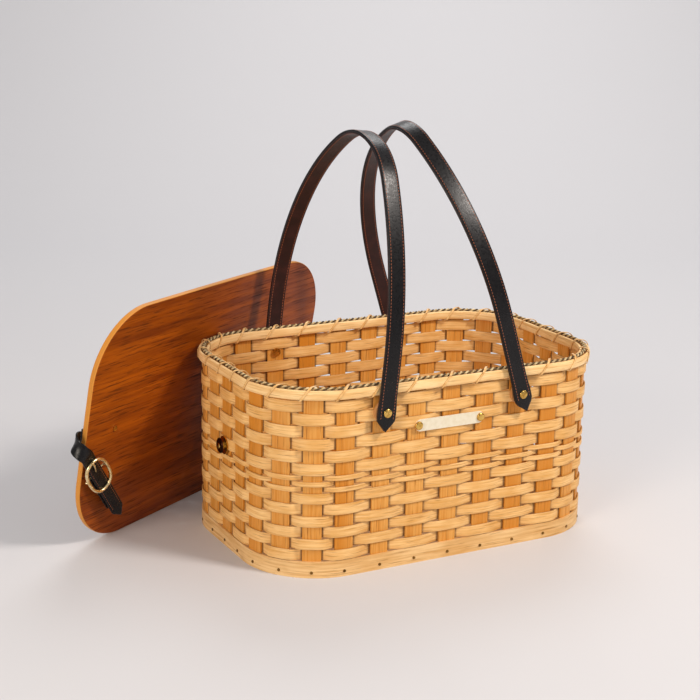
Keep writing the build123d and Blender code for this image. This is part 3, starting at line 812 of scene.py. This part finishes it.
def screw_head(place, out, radius, height):
    """Domed head with a slot cut across it, as (points, faces) round a centre."""
    side = Vector((0, 0, 1))
    across = out.cross(side)
    points = []
    faces = []
    rings = 7
    around = 28
    slot_half = 0.55 * MM
    for ring in range(rings + 1):
        share = ring / rings
        reach = radius * min(1.0, 1.04 * sin(pi / 2 * share) if share else 0.0)
        level_height = height * (cos(pi / 2 * share) ** 0.6 if share < 1 else 0.0)
        for j in range(around):
            angle = 2 * pi * j / around
            x = reach * cos(angle)
            y = reach * sin(angle)
            depth = level_height
            if abs(x) < slot_half and share < 1:
                depth = min(depth, height * 0.45)
            points.append(place + across * x + side * y + out * depth)
    for ring in range(rings):
        for j in range(around):
            beside = (j + 1) % around
            here = ring * around
            faces.append((here + j, here + beside, here + around + beside, here + around + j))
    return points, faces


screw_points = []
screw_faces = []
for name, stake, lean, rise, apex, inner_radius, leg in handles:
    pivot = Vector((front_xs[stake], 0, pivot_height))
    tilt = radians(lean)
    up = Vector((sin(tilt), 0, cos(tilt)))
    side_way = Vector((cos(tilt), 0, -sin(tilt)))
    ahead = Vector((0, 1, 0))
    stitches = []
    stitch_faces = []
    for layer, face, thickness, material, node_name, slot_name in (
        ("lining", lining_face, lining_thickness, burgundy_leather, "handle_lining", "lining_leather"),
        ("strap", strap_face, strap_thickness, black_leather, "handle_strap", "black_leather"),
    ):
        stations = []
        line = arch(face, rise, apex, inner_radius, leg)
        for y, height, out_y, out_height in line:
            place = pivot + ahead * y + up * height
            out = ahead * out_y + up * out_height
            taper = min(1.0, (height + handle_tail + tail_blunt) / (handle_tail - tail_shoulder))
            swell = 1 + tail_swell * max(0.0, 1 - (height / tail_swell_reach) ** 2)
            stations.append((place, side_way, out, max(0.03, taper * swell)))
        piece = sweep(
            f"{name}_handle_{layer}_leather",
            stations,
            rounded(strap_width, thickness, strap_edge, crown=strap_crown, across=5),
        )
        piece.data.materials.append(material)
        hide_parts(f"{name}_{node_name}")
        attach(piece, f"{name}_handle")
        outward = thickness / 2 if layer == "strap" else -thickness / 2
        for offset in (-stitch_inset, stitch_inset):
            path = [
                (place + side_way * offset + out * (outward * 1.02), out if outward > 0 else -out)
                for place, _, out, scale in stations
                if scale >= 1.0
            ]
            stitch_row(stitches, stitch_faces, path, stitch_pitch, stitch_length, thread_radius)
    sewing = mesh_object(f"{name}_handle_stitches", stitches, stitch_faces)
    sewing.data.materials.append(thread)
    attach(sewing, f"{name}_handle")
    for side in (-1, 1):
        place = Vector((front_xs[stake], side * screw_reach, pivot_height))
        more, more_faces = screw_head(place, Vector((0, side, 0)), screw_radius, screw_height)
        base = len(screw_points)
        screw_points += more
        screw_faces += [tuple(base + j for j in face) for face in more_faces]
screws = mesh_object("handle_screw_heads", screw_points, screw_faces)
screws.data.materials.append(brass)
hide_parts("handle_screws")
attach(screws, "basket")

# Snap studs on the end walls, one each: a turned cap of browned bronze with a bright brass pin
# in its middle. The cap sits on the neck of the stud's base, outside the weave.
stud_height = 115.0 * MM
stud_pin_radius = 2.7 * MM
stud_pin_level = 1.8 * MM
stud_neck_end = half_length + 7.9 * MM
stud_profile = (
    (0.0, 2.5), (2.6, 2.6), (2.8, 1.9), (4.2, 1.7), (6.2, 1.9), (7.6, 1.6), (8.4, 0.9), (8.5, 0.3),
    (8.1, 0.0), (0.0, 0.0),
)


def turned_piece(name, place, out, profile_mm, around=40):
    """Piece turned on a lathe, from (radius, height) points in millimetres."""
    side = Vector((0, 0, 1))
    across = out.cross(side)
    points = []
    faces = []
    for radius, height in profile_mm:
        for j in range(around):
            angle = 2 * pi * j / around
            reach = max(radius, 0.01) * MM
            points.append(
                place + across * (reach * cos(angle)) + side * (reach * sin(angle)) + out * (height * MM)
            )
    for ring in range(len(profile_mm) - 1):
        for j in range(around):
            beside = (j + 1) % around
            here = ring * around
            faces.append((here + j, here + beside, here + around + beside, here + around + j))
    return mesh_object(name, points, faces)


for name, side in (("left", -1), ("right", 1)):
    place = Vector((side * stud_neck_end, 0, stud_height))
    cap = turned_piece(f"{name}_stud_cap", place, Vector((side, 0, 0)), stud_profile)
    cap.data.materials.append(dark_bronze)
    cap.data.materials.append(brass)
    for polygon in cap.data.polygons:
        reach = (polygon.center - place).yz.length
        if reach < stud_pin_radius and abs(polygon.center.x - place.x) > stud_pin_level:
            polygon.material_index = 1
    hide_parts("stud_caps")
    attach(cap, "basket")

# The lid: an oak-veneered board, oiled, with open pores along its length and a paler lipping
# round its edge
lid_azimuth = radians(31.3)
lid_lean = radians(10.5)
lid_along = Vector((cos(lid_azimuth), sin(lid_azimuth), 0))
lid_away = Vector((-sin(lid_azimuth), cos(lid_azimuth), 0))
lid_up = lid_away * -sin(lid_lean) + Vector((0, 0, cos(lid_lean)))
lid_face = lid_along.cross(lid_up)
lid_turned = Matrix((lid_along, lid_up, lid_face)).to_euler()
# Oiled oak: red-brown with slow dark figure, open pores as short dark dashes, and little shine.
# The real pores are too fine to show from here, so they are drawn 1.7 mm wide.
oak, tree, shader = surface("oak_veneer_oiled", Specular_IOR_Level=0.22)
figure = node(tree, "TexNoise", {
    "Vector": grain_coordinates(tree, (7, 110, 60), tuple(lid_turned)),
    "Scale": 1.0,
    "Detail": 6.0,
    "Roughness": 0.62,
    "Distortion": 0.35,
}).outputs["Fac"]
pores = node(tree, "TexNoise", {
    "Vector": grain_coordinates(tree, (32, 600, 420), tuple(lid_turned)),
    "Scale": 1.0,
    "Detail": 3.0,
    "Roughness": 0.55,
}).outputs["Fac"]
boards = node(tree, "TexNoise", {
    "Vector": grain_coordinates(tree, (2.5, 16, 10), tuple(lid_turned)),
    "Scale": 1.0,
    "Detail": 1.0,
}).outputs["Fac"]
shade = blend_colours(tree, span(tree, figure, 0.36, 0.66), colour("B05604"), colour("7A3201"))
shade = blend_colours(tree, span(tree, boards, 0.35, 0.7, 0.0, 0.45), shade, colour("702C01"))
shade = blend_colours(tree, span(tree, pores, 0.54, 0.68, 0.0, 0.75), shade, colour("3A1400"))
facing = node(tree, "VectorMath", {
    0: node(tree, "TexCoord").outputs["Normal"],
    1: tuple(lid_face),
}, operation="DOT_PRODUCT").outputs["Value"]
edge = node(tree, "Math", {0: facing}, operation="ABSOLUTE").outputs["Value"]
shade = blend_colours(tree, span(tree, edge, 0.75, 0.9, 0.85, 0.0), shade, colour("D8923C"))
tree.links.new(shade, shader.inputs["Base Color"])
tree.links.new(span(tree, pores, 0.4, 0.7, 0.38, 0.6), shader.inputs["Roughness"])
bump = node(tree, "Bump", {"Height": pores, "Strength": 0.35, "Distance": -0.2 * MM})
tree.links.new(bump.outputs["Normal"], shader.inputs["Normal"])
repaint("lid_board", oak)
repaint("lid_strap_tabs", black_leather)

# The lid's straps: a pointed billet folded round the lid's end and laid through a centre-bar
# buckle, and a rear tab sewn round the bar. Both are black leather.
lid_centre = Vector((-168.771, 139.568, 132.739)) * MM
lid_end = 215.0 * MM
billet_width = 17.0 * MM
leather_thickness = 2.0 * MM
leaf_swing = radians(5.0)
leaf_slant = radians(-53.0)
leaf_start = Vector((8.4, -12.0, 2.0)) * MM
billet_length = 112.0 * MM
billet_point = 12.0 * MM
tab_length = 98.0 * MM
bar_from_fold = 36.0 * MM
bar_height = 3.0 * MM
billet_level = 6.5 * MM
frame_level = 9.0 * MM
buckle_length = 47.0 * MM
buckle_width = 32.5 * MM
buckle_wire = 1.9 * MM
bar_radius = 1.1 * MM
prong_radius = 1.0 * MM
billet_edge = 0.6 * MM
billet_crown = 0.2 * MM
billet_stitch_inset = 5.9 * MM
billet_stitch_length = 2.3 * MM
billet_thread_radius = 0.26 * MM
tab_round = 9 * MM
# Paler brass, cast and tumbled smooth
buckle_brass = polished("brass_cast_buckle", "F4E0B0", "CBA868", 0.2)


def smooth_path(places, steps):
    """Points along a curve through the places given (Catmull-Rom)."""
    ends = [2 * places[0] - places[1], *places, 2 * places[-1] - places[-2]]
    path = []
    for k in range(1, len(ends) - 2):
        a, b, c, d = ends[k - 1:k + 3]
        for step in range(steps):
            t = step / steps
            path.append(
                0.5 * (2 * b + (c - a) * t + (2 * a - 5 * b + 4 * c - d) * t * t
                       + (3 * b - a - 3 * c + d) * t * t * t)
            )
    path.append(places[-1])
    return path


def tube(name, path, radius, closed=False, start_out=Vector((0, 0, 1))):
    """Round bar along a path, its section kept from twisting."""
    stations = []
    out = start_out
    for k, place in enumerate(path):
        if closed:
            ahead = path[(k + 1) % len(path)] - path[k - 1]
        else:
            ahead = path[min(k + 1, len(path) - 1)] - path[max(k - 1, 0)]
        ahead.normalize()
        out = (out - ahead * out.dot(ahead)).normalized()
        stations.append((place, out.cross(ahead), out, 1.0))
    return sweep(name, stations, ring_outline(radius, 12), closed=closed)


for name, side in (("left", -1), ("right", 1)):
    inward = lid_along * -side
    leaf_x = inward * cos(leaf_swing) + lid_face * sin(leaf_swing)
    leaf_z = lid_face * cos(leaf_swing) - inward * sin(leaf_swing)
    run_way = leaf_x * cos(leaf_slant) + lid_up * sin(leaf_slant)
    leaf_y = leaf_z.cross(run_way)
    origin = (
        lid_centre
        + lid_along * (side * (lid_end + leaf_start.x))
        + lid_up * leaf_start.y
        + lid_face * leaf_start.z
    )

    def on_lid(x, y, z):
        return (
            lid_centre
            + lid_along * (side * (lid_end + x * MM))
            + lid_up * (y * MM)
            + lid_face * (z * MM)
        )

    def on_leaf(x, y, z):
        return origin + run_way * x + leaf_y * y + leaf_z * z

    way = [on_lid(1.6, -1.6, -7.6), on_lid(7, -1.8, -7.4), on_lid(12.0, -7, -2), on_lid(11.2, -11, 5)]
    way += [on_leaf(4 * MM, 0, billet_level), on_leaf(10 * MM, 0, billet_level)]
    path = smooth_path(way, 8)
    straight = [10 * MM + (billet_length - 10 * MM) * k / 40 for k in range(1, 41)]
    path += [on_leaf(x, 0, billet_level) for x in straight]
    stations = []
    bent = len(path) - len(straight)
    leaf_side = leaf_y * (1 if leaf_y.dot(lid_up) > 0 else -1)
    for k, place in enumerate(path):
        ahead = (path[min(k + 1, len(path) - 1)] - path[max(k - 1, 0)]).normalized()
        share = min(1.0, k / bent)
        across = lid_up.lerp(leaf_side, share * share * (3 - 2 * share))
        across = (across - ahead * across.dot(ahead)).normalized()
        out = across.cross(ahead) * side
        left_over = (path[-1] - place).length
        scale = 1.0 if k < bent else min(1.0, 0.08 + left_over / billet_point)
        stations.append((place, across, out, scale))
    billet = sweep(
        f"{name}_billet",
        stations,
        rounded(billet_width - 0.4 * MM, leather_thickness, billet_edge, crown=billet_crown),
    )
    billet.data.materials.append(black_leather)
    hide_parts(f"{name}_lid_strap")
    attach(billet, f"{name}_lid_strap")

    stations = []
    for k in range(41):
        x = bar_from_fold + (tab_length - bar_from_fold) * k / 40
        curl = max(0.0, 1 - (x - bar_from_fold) / tab_round)
        scale = min(1.0, 0.45 + (tab_length - x) / tab_round)
        stations.append((on_leaf(x, 0, 1.0 * MM + 0.6 * MM * curl), leaf_side, leaf_z, scale))
    tab = sweep(
        f"{name}_rear_tab",
        stations,
        rounded(billet_width - 0.3 * MM, leather_thickness, billet_edge),
    )
    tab.data.materials.append(black_leather)
    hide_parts(f"{name}_strap_tab")
    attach(tab, f"{name}_lid_strap")

    stitches = []
    stitch_faces = []
    for offset in (-billet_stitch_inset, billet_stitch_inset):
        line = [
            (on_leaf(12 * MM + 0.8 * MM * k, offset, billet_level + 1.05 * MM), leaf_z)
            for k in range(105)
        ]
        stitch_row(
            stitches, stitch_faces, line, stitch_pitch, billet_stitch_length, billet_thread_radius
        )
    sewing = mesh_object(f"{name}_billet_stitches", stitches, stitch_faces)
    sewing.data.materials.append(thread)
    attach(sewing, f"{name}_lid_strap")

    oval = []
    for k in range(72):
        angle = 2 * pi * k / 72
        x = (1 if cos(angle) >= 0 else -1) * abs(cos(angle)) ** 0.8 * (buckle_length / 2 - buckle_wire)
        y = (1 if sin(angle) >= 0 else -1) * abs(sin(angle)) ** 0.8 * (buckle_width / 2 - buckle_wire)
        oval.append(on_leaf(bar_from_fold + x, y, frame_level))
    ring = tube(f"{name}_buckle_frame", oval, buckle_wire, closed=True, start_out=leaf_z)
    bar_half = buckle_width / 2 - buckle_wire
    bar_way = [
        on_leaf(bar_from_fold, -bar_half, frame_level),
        on_leaf(bar_from_fold, -bar_half + 0.4 * MM, bar_height + 1.5 * MM),
        on_leaf(bar_from_fold, -bar_half + 2.4 * MM, bar_height),
        on_leaf(bar_from_fold, bar_half - 2.4 * MM, bar_height),
        on_leaf(bar_from_fold, bar_half - 0.4 * MM, bar_height + 1.5 * MM),
        on_leaf(bar_from_fold, bar_half, frame_level),
    ]
    bar = tube(f"{name}_buckle_bar", smooth_path(bar_way, 8), bar_radius, start_out=run_way)
    for piece in (ring, bar):
        piece.data.materials.append(buckle_brass)
        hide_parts(f"{name}_buckle")
        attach(piece, f"{name}_lid_strap")
    reach = buckle_length / 2
    prong_way = [
        on_leaf(bar_from_fold - 0.5 * MM, 0, bar_height + 1.7 * MM),
        on_leaf(bar_from_fold - 5 * MM, 0, bar_height + 3.6 * MM),
        on_leaf(bar_from_fold - 12 * MM, 0, frame_level + 0.4 * MM),
        on_leaf(bar_from_fold - reach + 4 * MM, 0, frame_level + 2.1 * MM),
        on_leaf(bar_from_fold - reach - 0.6 * MM, 0, frame_level + 2.3 * MM),
    ]
    prong = tube(f"{name}_prong", smooth_path(prong_way, 6), prong_radius, start_out=leaf_z)
    prong.data.materials.append(buckle_brass)
    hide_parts(f"{name}_buckle_prong")
    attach(prong, f"{name}_buckle_prong")
